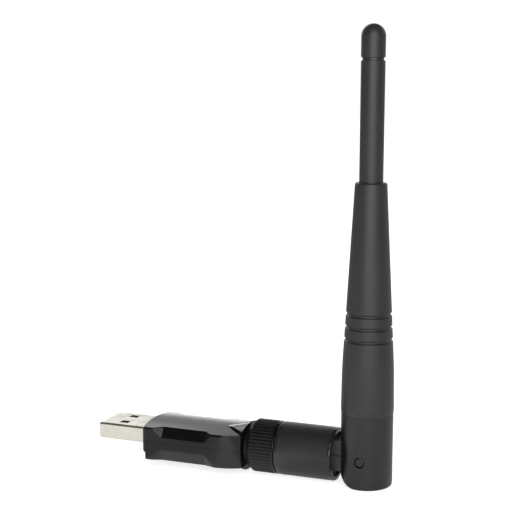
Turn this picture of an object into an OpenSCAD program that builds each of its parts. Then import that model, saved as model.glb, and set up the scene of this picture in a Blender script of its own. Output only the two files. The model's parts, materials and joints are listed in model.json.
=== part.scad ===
// USB wireless network adapter with a jointed whip antenna, in millimetres.
// The origin is the centre of the plug's mouth, X runs along the adapter to the antenna and Z is up.

/* [USB plug] */
// Width of the plug's metal shell
plug_w = 12; // [11.9:0.05:12.1]
// Height of the plug's metal shell
plug_h = 4.5; // [4.4:0.05:4.6]
// Length of the shell outside the housing
plug_out = 13.5; // [12:0.5:15]
// Sheet thickness of the shell
plug_sheet = 0.3; // [0.25:0.05:0.35]

/* [Housing] */
// Width across the housing's sides
body_w = 17.2; // [17:0.1:18]
// Length of the housing
body_l = 29.3; // [28.7:0.2:30.1]
// Height of the crowned top above the plug's axis
crown_z = 3.55; // [3.5:0.05:4]
// Depth of the flat underside below the plug's axis
body_drop = 6; // [5.8:0.1:6.5]
// Wall thickness of the two covers
wall = 1.2; // [1:0.05:1.3]
// Depth of the antenna connector's axis below the plug's axis
axis_drop = 0.8; // [0.6:0.05:0.9]
// Diameter of the round collar at the antenna end
collar_d = 12.8; // [12.4:0.1:13]

/* [Coupling nut] */
// Diameter over the nut's ribs
nut_d = 14.34; // [14:0.02:14.36]
// Length of the nut with its plain neck
nut_l = 9.2; // [9:0.1:9.4]
// Number of ribs round the nut
rib_count = 48; // [36:4:60]

/* [Swivel] */
// Diameter of the swivel barrel
barrel_d = 14.28; // [14:0.02:14.3]
// Length of the swivel barrel
barrel_l = 15.8; // [15.5:0.1:16.5]
// Thickness of the hinge tongue
tongue_t = 6; // [5.6:0.1:6.2]
// Height of the hinge tongue
tongue_h = 8.2; // [8:0.1:8.6]
// Diameter of the two hinge pins
pin_d = 2.5; // [2.4:0.1:2.8]
// Distance from the barrel's end to the hinge axis
hinge_reach = 7.95; // [7.75:0.05:8.2]
// Height of the hinge axis above the connector's axis
hinge_lift = 0.4; // [0.3:0.02:0.42]

/* [Antenna] */
// Diameter of the forked base
base_d = 13.7; // [13.4:0.05:13.8]
// Height of the forked base above the hinge axis
base_up = 12; // [11:0.1:13]
// Depth of the forked base below the hinge axis
base_down = 7.6; // [7.6:0.01:7.64]
// Height of the tapered sleeve's top above the hinge axis
sleeve_top = 72.5; // [70:0.5:76]
// Diameter of the tapered sleeve's top
sleeve_top_d = 8.3; // [8:0.1:8.6]
// Diameter of the slim rod
rod_d = 6.2; // [6:0.1:6.4]
// Height of the rounded tip above the hinge axis
antenna_top = 112.5; // [110:0.1:120]
// Spacing of the three grip grooves
groove_pitch = 3.35; // [3:0.05:4]

/* [Hidden] */
$fn = 48;
axis_z = -axis_drop;
fit = 0.02;
big = 40;

// Housing stations along X, and the arcs of its outline
body_x0 = plug_out;
body_x1 = body_x0 + body_l;
taper_x = body_x0 + 22.5;
taper_drop = 1.9;
taper_r = (pow(body_x1 - taper_x, 2) + pow(taper_drop, 2)) / (2 * taper_drop);
end_r = 34;
corner_r = 1.2;
corner_in = 2;
edge_r = 0.6;
crown_sag = 0.43;
crown_r = (pow(body_w / 2, 2) + pow(crown_sag, 2)) / (2 * crown_sag);
collar_slope = 0.36;
collar_x1 = body_x1 + 0.1;
cone_top = 0.4;
ramp_x = body_x1 - 6.3;
ramp_r = 12.5;
ramp_lean = 14;
ramp_spread = 0.945;
step_z = -4;
step_x = 1.1;
step_l = 4;

// Grip facets along the sides: a slanted plane between two flared ends
facet_top_y = 6.75;
facet_top_z = crown_z - crown_r + sqrt(pow(crown_r, 2) - pow(facet_top_y, 2));
facet_low_z = 0.7;
facet_tilt = atan2(body_w / 2 - facet_top_y, facet_top_z - facet_low_z);
facet_x = [body_x0 + 6.8, body_x0 + 19.6];
facet_flare = [2, 1.6];
scoop_z = -2.9;
scoop_low_y = 7.5;
scoop_tilt = atan2(body_w / 2 - scoop_low_y, body_drop + scoop_z);
scoop_x = [body_x0 + 6.5, body_x0 + 19.5];
scoop_flare = [3, 3];
facet_reach = 4;

// Plug and board
plug_in = 4;
plug_corner = 0.6;
plug_hole = [2.5, 2.2];
plug_hole_x = 6.5;
plug_hole_y = 2.93;
contact_y = [-3.5, -1, 1, 3.5];
contact_w = 1;
contact_t = 0.2;
pin_r = 0.46;
board_x = [body_x0 + 4.5, body_x0 + 24.5];
board_w = 12.4;
board_t = 1;
board_top = axis_z - pin_r;

// Antenna connector
thread_r = 3.12;
jack_x = [body_x1 - 4.6, body_x1 - 1.4, body_x1 + 7.7];
jack_block = 6.2;
jack_bore_r = 2.32;
dielectric_x1 = body_x1 + 5.2;
mate_x = body_x1 + 7.9;
shank_r = 3.55;
nose_r = 2.28;
bore_r = 1.7;
cable_r = 0.9;
cable_hole_r = 0.95;
ring_x = [mate_x + 0.3, mate_x + 0.9];
ring_r = [3.1, 3.95];
nut_x0 = body_x1 + 0.4;
nut_x1 = nut_x0 + nut_l;
nut_neck_l = 1.7;
nut_chamfer = 0.7;
insert_r = 5;
barrel_x0 = nut_x1 + 0.12;
barrel_x1 = barrel_x0 + barrel_l;
barrel_bore_r = shank_r + 0.05;
core_x0 = barrel_x0 + 8.7;
core_r = 6;
cup_depth = 1;
flange_r = 4.3;
flange_x1 = core_x0 + 1;

// Hinge
hinge_x = barrel_x1 + hinge_reach;
hinge_z = axis_z + hinge_lift;
slot_w = tongue_t + 0.3;
slot_r = tongue_h / 2 + 0.25;
cable_slot = 2.5;
bend_r = slot_r + hinge_lift - 0.05;
sweep_r = base_down + 0.05;
pin_y = [cable_slot / 2 + 0.1, base_d / 2 - 0.15];

// Antenna stations above the hinge axis
base_r = base_d / 2;
base_edge = 0.5;
spigot_r = 5.4;
spigot_top = base_up + 8;
sleeve_r = [6.98, 6.8];
sleeve_waist = 24.1;
sleeve_wall = 1.2;
groove_h = 31.75;
groove_w = 1;
groove_depth = 0.35;
rod_r = rod_d / 2;
rod_bore_r = 2.2;
rod_foot = 58;
tip_h = antenna_top - 8.8;
tip_gap = 0.8;
tip_neck_r = 2.75;
tip_socket_r = 2;
tip_socket_l = 3;
dipole_h = [30, 57];
dipole_r = [2, 2.3];
wire_r = 0.35;
wire_top = tip_h - 5;

// Points of a circular arc about (cx, cy)
function arc(cx, cy, r, a0, a1, n = 8) =
    [for (i = [0:n]) let (a = a0 + (a1 - a0) * i / n) [cx + r * cos(a), cy + r * sin(a)]];

// Radius of the collar's cone at a station along X
function collar_radius(x) = collar_d / 2 - collar_slope * (body_x1 - x);

// Round bar along the connector's axis
module bar_x(x0, x1, r) {
    translate([x0, 0, axis_z])
        rotate([0, 90, 0])
            cylinder(h = x1 - x0, r = r);
}

// Solid turned about the connector's axis, from points of [x, radius]
module turned_x(points) {
    translate([0, 0, axis_z])
        rotate([0, 90, 0])
            rotate_extrude()
                polygon([for (p = points) [p[1], p[0]]]);
}

// Solid turned about the antenna's axis, from points of [radius, height above the hinge]
module turned_z(points) {
    translate([hinge_x, 0, hinge_z])
        rotate_extrude()
            polygon(points);
}

// Round bar along the hinge axis
module bar_y(y0, y1, r) {
    translate([hinge_x, y1, hinge_z])
        rotate([90, 0, 0])
            cylinder(h = y1 - y0, r = r);
}

// Outline in Y and Z carried along X
module along_x(x0, x1) {
    translate([x0, 0, 0])
        rotate([90, 0, 90])
            linear_extrude(x1 - x0)
                children();
}

// Block between two corners
module block(low, high) {
    translate(low)
        cube(high - low);
}

module both_sides() {
    children();
    mirror([0, 1, 0])
        children();
}

module rounded_rect(w, h, r) {
    square([w - 2 * r, h], center = true);
    square([w, h - 2 * r], center = true);
    for (sx = [-1, 1], sy = [-1, 1])
        translate([sx * (w / 2 - r), sy * (h / 2 - r)])
            circle(r);
}

// Outline of the housing seen from above: convex plug end, straight sides, sides drawn in to the collar
module housing_plan() {
    half = body_w / 2;
    intersection() {
        translate([body_x0 + end_r, 0])
            circle(end_r);
        union() {
            translate([body_x0 + corner_in, -half])
                square([taper_x - body_x0 - corner_in, body_w]);
            translate([body_x0 - 1, corner_r - half])
                square([corner_in + 1, body_w - 2 * corner_r]);
            for (s = [-1, 1])
                translate([body_x0 + corner_in, s * (half - corner_r)])
                    circle(corner_r);
            intersection() {
                translate([taper_x, -half])
                    square([body_x1 - taper_x, body_w]);
                translate([taper_x, half - taper_r])
                    circle(taper_r);
                translate([taper_x, taper_r - half])
                    circle(taper_r);
            }
        }
    }
}

// Section of the housing: crowned top and rounded lower edges, a little wider than the sides
module housing_section() {
    half = body_w / 2 + 0.3 * edge_r;
    crown_a = asin((half + 2) / crown_r);
    polygon(concat(
        arc(0, crown_z - crown_r, crown_r, 90 - crown_a, 90 + crown_a, 14),
        arc(edge_r - half, edge_r - body_drop, edge_r, 180, 270, 6),
        arc(half - edge_r, edge_r - body_drop, edge_r, 270, 360, 6)
    ));
}

// Grip facet cut from the upper edge of the near side
module grip_facet() {
    translate([0, -body_w / 2, facet_low_z])
        rotate([-facet_tilt, 0, 0])
            translate([0, 0, -2])
                linear_extrude(8)
                    polygon([
                        [facet_x[0], 0],
                        [facet_x[1], 0],
                        [facet_x[1] + facet_flare[1] * facet_reach, -facet_reach],
                        [facet_x[0] - facet_flare[0] * facet_reach, -facet_reach]
                    ]);
}

// Finger scoop cut from the lower edge of the near side
module finger_scoop() {
    translate([0, -body_w / 2, scoop_z])
        rotate([scoop_tilt, 0, 0])
            translate([0, 0, -6])
                linear_extrude(8)
                    polygon([
                        [scoop_x[0], 0],
                        [scoop_x[1], 0],
                        [scoop_x[1] + scoop_flare[1] * facet_reach, -facet_reach],
                        [scoop_x[0] - scoop_flare[0] * facet_reach, -facet_reach]
                    ]);
}

// Ramp on the top that rises to the nut: a wedge seen from above, under a leaning cylinder
module collar_ramp() {
    spread = ramp_spread * (collar_x1 - ramp_x);
    intersection() {
        translate([0, 0, cone_top + 0.2])
            linear_extrude(big)
                polygon([[ramp_x, 0], [collar_x1, -spread], [collar_x1, spread]]);
        translate([ramp_x, 0, crown_z - ramp_r / cos(ramp_lean)])
            rotate([0, 90 - ramp_lean, 0])
                cylinder(h = big, r = ramp_r, center = true);
    }
}

// Cone that grows out of the underside into the round collar
module collar_cone() {
    intersection() {
        turned_x([
            [taper_x - 6, 0],
            [taper_x - 6, collar_radius(taper_x - 6)],
            [collar_x1, collar_radius(collar_x1)],
            [collar_x1, 0]
        ]);
        block([0, -big / 2, -big / 2], [2 * big, big / 2, cone_top]);
    }
}

// Step under the plug end, which sets the lower part of the end back
module end_step() {
    difference() {
        block([body_x0 - 1, -big / 2, -big / 2], [body_x0 + step_l, big / 2, step_z]);
        translate([body_x0 + step_x + end_r, 0, -big])
            cylinder(h = 2 * big, r = end_r);
    }
}

// Outside of the closed housing
module housing_form() {
    difference() {
        union() {
            intersection() {
                translate([0, 0, -big / 2])
                    linear_extrude(big)
                        housing_plan();
                along_x(body_x0 - 1, body_x1 + 1)
                    housing_section();
            }
            collar_cone();
            collar_ramp();
        }
        both_sides() {
            grip_facet();
            finger_scoop();
        }
        end_step();
    }
}

// Room inside the covers for the board, the plug's tail and the jack
module housing_room() {
    x0 = body_x0 + 2.9;
    x1 = jack_x[1];
    side = body_w / 2 - wall - 0.2;
    mouth = [plug_w / 2 + fit, plug_h / 2 + fit];
    block([x0, -side, -2.6], [board_x[1] + 0.2, side, 0.8]);
    block([x0, 1.2 - side, wall - body_drop], [x1, side - 1.2, crown_z - wall]);
    block([body_x0 - 1, -mouth[0], -mouth[1]], [x0 + 1, mouth[0], mouth[1]]);
    bar_x(x1 - 1, body_x1 + 1, thread_r + 0.08);
}

module usb_shell() {
    color("gainsboro")
        difference() {
            along_x(0, plug_out + plug_in)
                rounded_rect(plug_w, plug_h, plug_corner);
            along_x(-1, plug_out + plug_in + 1)
                rounded_rect(plug_w - 2 * plug_sheet, plug_h - 2 * plug_sheet, plug_corner - plug_sheet);
            for (s = [-1, 1])
                translate([plug_hole_x, s * plug_hole_y, 0])
                    cube([plug_hole[0], plug_hole[1], plug_h + 1], center = true);
        }
}

// One spring contact of the plug, with its foot on the board
module contact(y, x0) {
    half = contact_w / 2;
    heel = plug_out + plug_in;
    block([x0, y - half, 0], [heel + contact_t, y + half, contact_t]);
    block([heel, y - half, board_top], [heel + contact_t, y + half, contact_t]);
    block([heel, y - half, board_top], [heel + 2, y + half, board_top + contact_t]);
}

module usb_contacts() {
    color("gold")
        for (i = [0:3])
            contact(contact_y[i], abs(contact_y[i]) > 2 ? 1.2 : 2.2);
}

module usb_insulator() {
    inner_h = plug_h - 2 * (plug_sheet + fit);
    inner_w = plug_w - 2 * (plug_sheet + fit);
    color([0.03, 0.03, 0.03])
        difference() {
            along_x(0.6, plug_out + plug_in - 0.1)
                rounded_rect(inner_w, inner_h, plug_corner - plug_sheet);
            block([-1, -plug_w, 0], [plug_out - 2, plug_w, plug_h]);
            usb_contacts();
        }
}

module top_cover() {
    color([0.06, 0.06, 0.07])
        difference() {
            housing_form();
            housing_room();
            block([0, -big, -big], [big * 2, big, axis_z]);
        }
}

module bottom_cover() {
    rail_x = [board_x[0] + 2, board_x[1] - 3];
    color([0.07, 0.07, 0.08]) {
        difference() {
            housing_form();
            housing_room();
            block([0, -big, axis_z], [big * 2, big, big]);
        }
        both_sides()
            block([rail_x[0], 4.6, wall - body_drop - 0.1], [rail_x[1], 5.6, board_top - board_t]);
    }
}

module circuit_board() {
    half = board_w / 2;
    color("darkgreen")
        difference() {
            block([board_x[0], -half, board_top - board_t], [board_x[1], half, board_top]);
            both_sides()
                translate([board_x[0] + 9, half, board_top - board_t - 1])
                    cylinder(h = board_t + 2, r = 0.8);
        }
}

// Rectangular chip lying on the board's upper side
module chip(x, y, size) {
    translate([x, y - size[1] / 2, board_top])
        cube(size);
}

module radio_chip() {
    color("dimgray")
        chip(board_x[0] + 8, 0, [6, 6, 0.9]);
}

module shield_can() {
    can = [9, 9.4, 1.8];
    x = board_x[0] + 6.5;
    sheet = 0.2;
    color("silver")
        difference() {
            chip(x, 0, can);
            translate([0, 0, -sheet])
                chip(x + sheet, 0, [can[0] - 2 * sheet, can[1] - 2 * sheet, can[2]]);
        }
}

module crystal() {
    color("silver")
        chip(board_x[0] + 3, 3, [2.5, 3.2, 0.8]);
}

module voltage_regulator() {
    color("dimgray")
        chip(board_x[0] + 3.2, -2.6, [1.6, 2.9, 1.1]);
}

module chip_capacitors() {
    color("tan") {
        for (i = [0:2])
            chip(board_x[0] + 15.7, -3.6 + 1.5 * i, [1.6, 0.8, 0.8]);
        for (i = [0:1])
            chip(board_x[0] + 15.7, 2.1 + 1.5 * i, [1.6, 0.8, 0.8]);
        for (s = [-1, 1])
            chip(board_x[0] + 3.6, s * 5.3, [1.6, 0.8, 0.8]);
    }
}

module jack_body() {
    half = jack_block / 2;
    color("goldenrod")
        difference() {
            union() {
                block([jack_x[0], -half, axis_z - half], [jack_x[1], half, axis_z + half]);
                bar_x(jack_x[1] - 0.1, jack_x[2], thread_r);
                for (s = [-1, 1])
                    block([jack_x[0] - 2.2, s * (half - 0.5) - 0.5, board_top],
                        [jack_x[0] + 0.1, s * (half - 0.5) + 0.5, board_top + 1]);
            }
            bar_x(jack_x[0] - 1, jack_x[2] + 1, jack_bore_r);
        }
}

module jack_insulator() {
    color("white")
        difference() {
            bar_x(jack_x[0] + 0.2, dielectric_x1, jack_bore_r - fit);
            bar_x(jack_x[0], dielectric_x1 + 1, pin_r + fit);
        }
}

module jack_pin() {
    color("gold")
        bar_x(jack_x[0] - 2.4, mate_x - 0.5, pin_r);
}

// Moulded nut: plain neck, chamfer and a ribbed grip
module coupling_nut() {
    rib_r = nut_d / 2;
    neck_r = collar_d / 2;
    grip_x0 = nut_x0 + nut_neck_l + nut_chamfer;
    groove_r = 0.28;
    color([0.1, 0.1, 0.1])
        difference() {
            turned_x([
                [nut_x0, insert_r + fit],
                [nut_x0, neck_r],
                [nut_x0 + nut_neck_l, neck_r],
                [grip_x0, rib_r],
                [nut_x1 - 0.4, rib_r],
                [nut_x1, rib_r - 0.4],
                [nut_x1, insert_r + fit]
            ]);
            for (i = [0:rib_count - 1])
                translate([0, 0, axis_z])
                    rotate([i * 360 / rib_count, 0, 0])
                        translate([grip_x0 - 0.2, 0, rib_r + groove_r * 0.2])
                            rotate([0, 90, 0])
                                cylinder(h = nut_l, r = groove_r);
        }
}

module nut_insert() {
    step_x = mate_x - 0.2;
    color("goldenrod")
        turned_x([
            [nut_x0 + 0.4, thread_r + 0.06],
            [nut_x0 + 0.4, insert_r],
            [nut_x1, insert_r],
            [nut_x1, shank_r + 0.07],
            [ring_x[1] + 0.05, shank_r + 0.07],
            [ring_x[1] + 0.05, ring_r[1] + 0.1],
            [ring_x[0], ring_r[1] + 0.1],
            [ring_x[0], shank_r + 0.07],
            [step_x, shank_r + 0.07],
            [step_x, thread_r + 0.06]
        ]);
}

// Open spring ring that holds the nut on the connector
module retaining_ring() {
    color("darkgoldenrod")
        difference() {
            bar_x(ring_x[0] + 0.05, ring_x[1] - 0.05, ring_r[1]);
            bar_x(ring_x[0] - 1, ring_x[1] + 1, ring_r[0] + fit);
            block([ring_x[0] - 1, -0.6, axis_z], [ring_x[1] + 1, 0.6, axis_z + ring_r[1] + 1]);
        }
}

// Turned body of the antenna's connector: nose, shoulder, ring groove, swivel shank and end flange
module connector_body() {
    nose_x = dielectric_x1 + 0.3;
    color("goldenrod")
        turned_x([
            [nose_x, bore_r],
            [nose_x, nose_r],
            [mate_x, nose_r],
            [mate_x, shank_r],
            [ring_x[0], shank_r],
            [ring_x[0], ring_r[0]],
            [ring_x[1], ring_r[0]],
            [ring_x[1], shank_r],
            [core_x0 + 0.3, shank_r],
            [core_x0 + 0.3, flange_r],
            [flange_x1, flange_r],
            [flange_x1, cable_hole_r],
            [mate_x + 5.8, cable_hole_r],
            [mate_x + 5.8, bore_r]
        ]);
}

module connector_insulator() {
    color("white")
        difference() {
            bar_x(dielectric_x1 + 0.6, mate_x + 5.4, bore_r - fit);
            bar_x(dielectric_x1, mate_x + 6, 0.77);
        }
}

module connector_socket() {
    color("gold")
        difference() {
            bar_x(dielectric_x1 + 0.4, mate_x + 5.6, 0.75);
            bar_x(dielectric_x1, mate_x + 1, pin_r + fit);
        }
}

// Outer tube of the swivel, turning on the connector's shank
module swivel_barrel() {
    r = barrel_d / 2;
    round_l = 1;
    round_r = 0.4;
    color([0.16, 0.16, 0.16])
        turned_x(concat(
            [[barrel_x0, barrel_bore_r]],
            [for (p = arc(barrel_x0 + round_l, r - round_l, round_l, 180, 90)) p],
            [for (p = arc(barrel_x1 - round_r, r - round_r, round_r, 90, 0, 4)) p],
            [
                [barrel_x1, core_r + fit],
                [core_x0, core_r + fit],
                [core_x0, barrel_bore_r]
            ]
        ));
}

// Core of the swivel, with the tongue that carries the hinge and a channel for the cable
module hinge_knuckle() {
    core_x1 = barrel_x1 - cup_depth;
    half = tongue_t / 2;
    color([0.15, 0.15, 0.15])
        difference() {
            union() {
                bar_x(core_x0 + 0.05, core_x1, core_r);
                block([core_x1 - 0.1, -half, hinge_z - tongue_h / 2],
                    [hinge_x, half, hinge_z + tongue_h / 2]);
                bar_y(-half, half, tongue_h / 2);
            }
            bar_x(core_x0, flange_x1 + 0.4, flange_r + 0.3);
            bar_x(core_x0, hinge_x, cable_hole_r);
            block([hinge_x - bend_r - 0.4, -cable_slot / 2, axis_z - cable_slot / 2],
                [hinge_x + tongue_h, cable_slot / 2, big]);
            bar_y(-big, big, pin_d / 2 + 0.01);
        }
}

module hinge_pins() {
    color("dimgray")
        both_sides()
            bar_y(pin_y[0], pin_y[1], pin_d / 2);
}

module barrel_cable() {
    color("sienna")
        bar_x(mate_x + 5.9, hinge_x - bend_r, cable_r);
}

// Quarter turn of the cable through the hinge, up into the antenna
module cable_bend() {
    color("sienna")
        translate([hinge_x - bend_r, 0, axis_z + bend_r])
            rotate([90, 0, 0])
                rotate([0, 0, -90])
                    rotate_extrude(angle = 90)
                        translate([bend_r, 0])
                            circle(cable_r);
}

// Forked base of the antenna: open towards the barrel and below, so that it can lie in line with it
module antenna_base() {
    color([0.16, 0.16, 0.17])
        difference() {
            turned_z([
                [0, -base_down],
                [base_r - base_edge, -base_down],
                [base_r, base_edge - base_down],
                [base_r, base_up],
                [spigot_r, base_up],
                [spigot_r, spigot_top],
                [0, spigot_top]
            ]);
            translate([hinge_x, 0, hinge_z]) {
                block([-big, -slot_w / 2, -big], [0, slot_w / 2, slot_r]);
                block([-1, -slot_w / 2, -big], [slot_r, slot_w / 2, 0]);
                difference() {
                    block([-big, -big, -big], [0, big, 0]);
                    rotate([90, 0, 0])
                        cylinder(h = 4 * big, r = sweep_r, center = true);
                }
                cylinder(h = big, r = cable_hole_r);
            }
            bar_y(-slot_w / 2, slot_w / 2, slot_r);
            bar_y(-big, big, pin_d / 2 + 0.04);
        }
}

// Outer radius of the tapered sleeve at a height above the hinge
function sleeve_radius(h) = h < sleeve_waist
    ? sleeve_r[0] + (sleeve_r[1] - sleeve_r[0]) * (h - base_up) / (sleeve_waist - base_up)
    : sleeve_r[1] + (sleeve_top_d / 2 - sleeve_r[1]) * (h - sleeve_waist) / (sleeve_top - sleeve_waist);

// One round-bottomed groove of the grip, as points of [radius, height]
function grip_groove(h) = [
    [sleeve_radius(h - groove_w / 2), h - groove_w / 2],
    [sleeve_radius(h) - groove_depth, h - groove_w / 4],
    [sleeve_radius(h) - groove_depth, h + groove_w / 4],
    [sleeve_radius(h + groove_w / 2), h + groove_w / 2]
];

// Hollow cone with three grip grooves, glued on the base's spigot
module tapered_sleeve() {
    bore = rod_r + fit;
    color([0.16, 0.16, 0.17])
        turned_z(concat(
            [
                [spigot_r + fit, base_up],
                [sleeve_r[0] - 0.15, base_up],
                [sleeve_radius(base_up + 0.3), base_up + 0.3],
                [sleeve_r[1], sleeve_waist]
            ],
            [for (i = [0:2]) each grip_groove(groove_h + i * groove_pitch)],
            [
                [sleeve_radius(sleeve_top - 0.4), sleeve_top - 0.4],
                [sleeve_top_d / 2 - 0.3, sleeve_top],
                [bore, sleeve_top],
                [bore, rod_foot],
                [sleeve_radius(rod_foot) - sleeve_wall, rod_foot],
                [spigot_r - 0.4, spigot_top + 0.1],
                [spigot_r + fit, spigot_top + 0.1]
            ]
        ));
}

module antenna_rod() {
    color([0.14, 0.14, 0.15])
        turned_z([
            [rod_bore_r, rod_foot + 0.1],
            [rod_r, rod_foot + 0.1],
            [rod_r, tip_h - tip_gap / 2],
            [tip_neck_r, tip_h - tip_gap / 2],
            [tip_neck_r, tip_h + tip_gap / 2],
            [tip_socket_r, tip_h + tip_gap / 2],
            [tip_socket_r, tip_h + tip_socket_l],
            [0, tip_h + tip_socket_l],
            [0, tip_h - 2],
            [rod_bore_r, tip_h - 2]
        ]);
}

module tip_cap() {
    r = rod_r + 0.02;
    foot = tip_h + tip_gap / 2;
    color([0.14, 0.14, 0.15])
        turned_z(concat(
            [
                [0, tip_h + tip_socket_l + 0.1],
                [tip_socket_r + fit, tip_h + tip_socket_l + 0.1],
                [tip_socket_r + fit, foot],
                [r, foot]
            ],
            arc(0, antenna_top - r, r, 0, 90)
        ));
}

module antenna_cable() {
    color("sienna")
        turned_z([
            [0, slot_r],
            [cable_r, slot_r],
            [cable_r, dipole_h[1]],
            [0, dipole_h[1]]
        ]);
}

// Thin brass tube closed on the cable at its upper end
module dipole_sleeve() {
    color("goldenrod")
        turned_z([
            [dipole_r[0], dipole_h[0]],
            [dipole_r[1], dipole_h[0]],
            [dipole_r[1], dipole_h[1]],
            [cable_hole_r, dipole_h[1]],
            [cable_hole_r, dipole_h[1] - 0.5],
            [dipole_r[0], dipole_h[1] - 0.5]
        ]);
}

module radiator_wire() {
    color("peru")
        turned_z([
            [0, dipole_h[1]],
            [wire_r, dipole_h[1]],
            [wire_r, wire_top],
            [0, wire_top]
        ]);
}

usb_shell();
usb_insulator();
usb_contacts();
top_cover();
bottom_cover();
circuit_board();
radio_chip();
shield_can();
crystal();
voltage_regulator();
chip_capacitors();
jack_body();
jack_insulator();
jack_pin();
coupling_nut();
nut_insert();
retaining_ring();
connector_body();
connector_insulator();
connector_socket();
swivel_barrel();
hinge_knuckle();
hinge_pins();
barrel_cable();
cable_bend();
antenna_base();
tapered_sleeve();
antenna_rod();
tip_cap();
antenna_cable();
dipole_sleeve();
radiator_wire();
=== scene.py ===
"""Looks of a USB wireless adapter with a jointed whip antenna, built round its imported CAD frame.

Shapes are worked out in millimetres in the CAD's own frame: the origin is the centre of the plug's mouth, X runs
along the adapter to the antenna and Z is up. They are put into the meshes in metres.
"""
import json

import bmesh
import bpy
import numpy as np
from mathutils import Matrix, Vector

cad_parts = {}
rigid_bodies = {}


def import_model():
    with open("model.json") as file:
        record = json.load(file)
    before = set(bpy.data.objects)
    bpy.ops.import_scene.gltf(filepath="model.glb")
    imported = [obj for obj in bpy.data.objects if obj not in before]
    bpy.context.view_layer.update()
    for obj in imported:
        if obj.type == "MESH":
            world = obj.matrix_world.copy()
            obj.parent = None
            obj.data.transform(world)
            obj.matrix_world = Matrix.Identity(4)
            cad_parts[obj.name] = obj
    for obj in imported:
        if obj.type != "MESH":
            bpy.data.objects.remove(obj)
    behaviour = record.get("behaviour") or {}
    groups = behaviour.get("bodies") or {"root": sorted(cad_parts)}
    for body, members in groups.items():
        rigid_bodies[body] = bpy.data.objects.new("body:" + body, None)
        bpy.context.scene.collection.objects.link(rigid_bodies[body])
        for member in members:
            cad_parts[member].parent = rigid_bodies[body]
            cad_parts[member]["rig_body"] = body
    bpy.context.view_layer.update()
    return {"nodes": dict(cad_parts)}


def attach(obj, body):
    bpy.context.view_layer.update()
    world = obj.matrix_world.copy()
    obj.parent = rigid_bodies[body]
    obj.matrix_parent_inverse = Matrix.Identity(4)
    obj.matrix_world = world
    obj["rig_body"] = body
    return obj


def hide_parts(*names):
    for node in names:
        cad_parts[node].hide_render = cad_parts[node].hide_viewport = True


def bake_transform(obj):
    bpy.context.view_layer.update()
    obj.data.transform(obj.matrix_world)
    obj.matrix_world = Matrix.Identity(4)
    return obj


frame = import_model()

MM = 0.001

# Stations and sizes that several pieces share, in millimetres
AXIS_Z = -0.8                       # connector axis, and the covers' parting plane
HINGE_X, HINGE_Z = 76.27, -0.4      # hinge axis; the antenna stands over it at rest
FLOOR_Z = -8.0
PLUG = np.array([12.0, 4.5])        # shell's width and height
PLUG_IN = 17.5                      # shell's length, with the part inside the housing
BODY_X = (13.5, 43.1)               # covers' ends; the one beside the nut is 0.3 past the CAD's
HALF_W = 8.6                        # covers' half width
END_R = 34.0                        # arc of the plug end, seen from above
CROWN_Z, CROWN_R = 3.55, 86.2       # height of the crowned top, and its arc across the housing
BOTTOM_Z = -6.0
END_ROUND = 0.75                    # round of the top's edge along the plug end
NUT_X = (43.2, 52.4)
BARREL_X = (52.52, 68.32)
CABLE_R, CABLE_BORE = 0.9, 0.95     # cable's radius, and that of the bores it runs in
PIN_R = 1.25                        # hinge pins' radius
FAR = 20.0                          # clear of the piece that is cut

WELD = 1e-4                                         # vertices nearer than this are one, in millimetres
BEVEL_ANGLE, SHARP_ANGLE = np.radians((40, 50))     # edges sharper than these are bevelled, and shaded as sharp


# ---------------------------------------------------------------- shapes

def eased(corners, ease, closed=True, steps=5, share=0.45):
    """Profile with its corners eased. Each corner is replaced by the quadratic curve from a point on the edge before it
    to a point on the edge after it, both at the ease's distance and at most a share of the edge from the corner."""
    corners = np.asarray(corners, float)
    ease = np.array(np.broadcast_to(ease, corners.shape[:-1]))
    if not closed:
        ease[..., [0, -1]] = 0
    t = np.linspace(0, 1, steps)[:, None]
    legs = []
    for shift in (1, -1):
        edge = np.roll(corners, shift, -2) - corners
        length = np.maximum(np.linalg.norm(edge, axis=-1), 1e-9)
        legs.append(corners + edge * (np.minimum(ease, share * length) / length)[..., None])
    before, after = (leg[..., None, :] for leg in legs)
    curve = (1 - t) ** 2 * before + 2 * t * (1 - t) * corners[..., None, :] + t ** 2 * after
    return curve.reshape(*corners.shape[:-2], -1, 2)


def arc(centre, radius, start, end, steps):
    """Points of a circular arc, its centre plus the radius times (cos a, sin a), between two angles in degrees."""
    a = np.radians(np.linspace(start, end, steps))
    return np.stack([centre[0] + radius * np.cos(a), centre[1] + radius * np.sin(a)], -1)


def smooth_max(a, b, k):
    """The larger of two surfaces, with the crease between them eased over about k: half of their sum plus the square
    root of their difference squared plus k squared."""
    return (a + b + np.sqrt((a - b) ** 2 + k ** 2)) / 2


def grid(points, along=False):
    """Vertices and quads of a surface given as a two-way array of points. It closes on itself in the first direction,
    and where along is true in the second too."""
    ids = np.arange(points.shape[0] * points.shape[1]).reshape(points.shape[:2])
    ids = np.vstack([ids, ids[:1]])
    if along:
        ids = np.hstack([ids, ids[:, :1]])
    quads = np.stack([ids[:-1, :-1], ids[1:, :-1], ids[1:, 1:], ids[:-1, 1:]], -1)
    return points.reshape(-1, 3), quads.reshape(-1, 4)


# A turning axis is its origin, its direction, and the two directions square to it from which angles are counted
X_AXIS = np.array([[0, 0, AXIS_Z], [1, 0, 0], [0, 0, 1], [0, -1, 0]], float)
ANTENNA = np.array([[HINGE_X, 0, HINGE_Z], [0, 0, 1], [1, 0, 0], [0, 1, 0]], float)
HINGE = np.array([[HINGE_X, 0, HINGE_Z], [0, 1, 0], [1, 0, 0], [0, 0, 1]], float)


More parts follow.
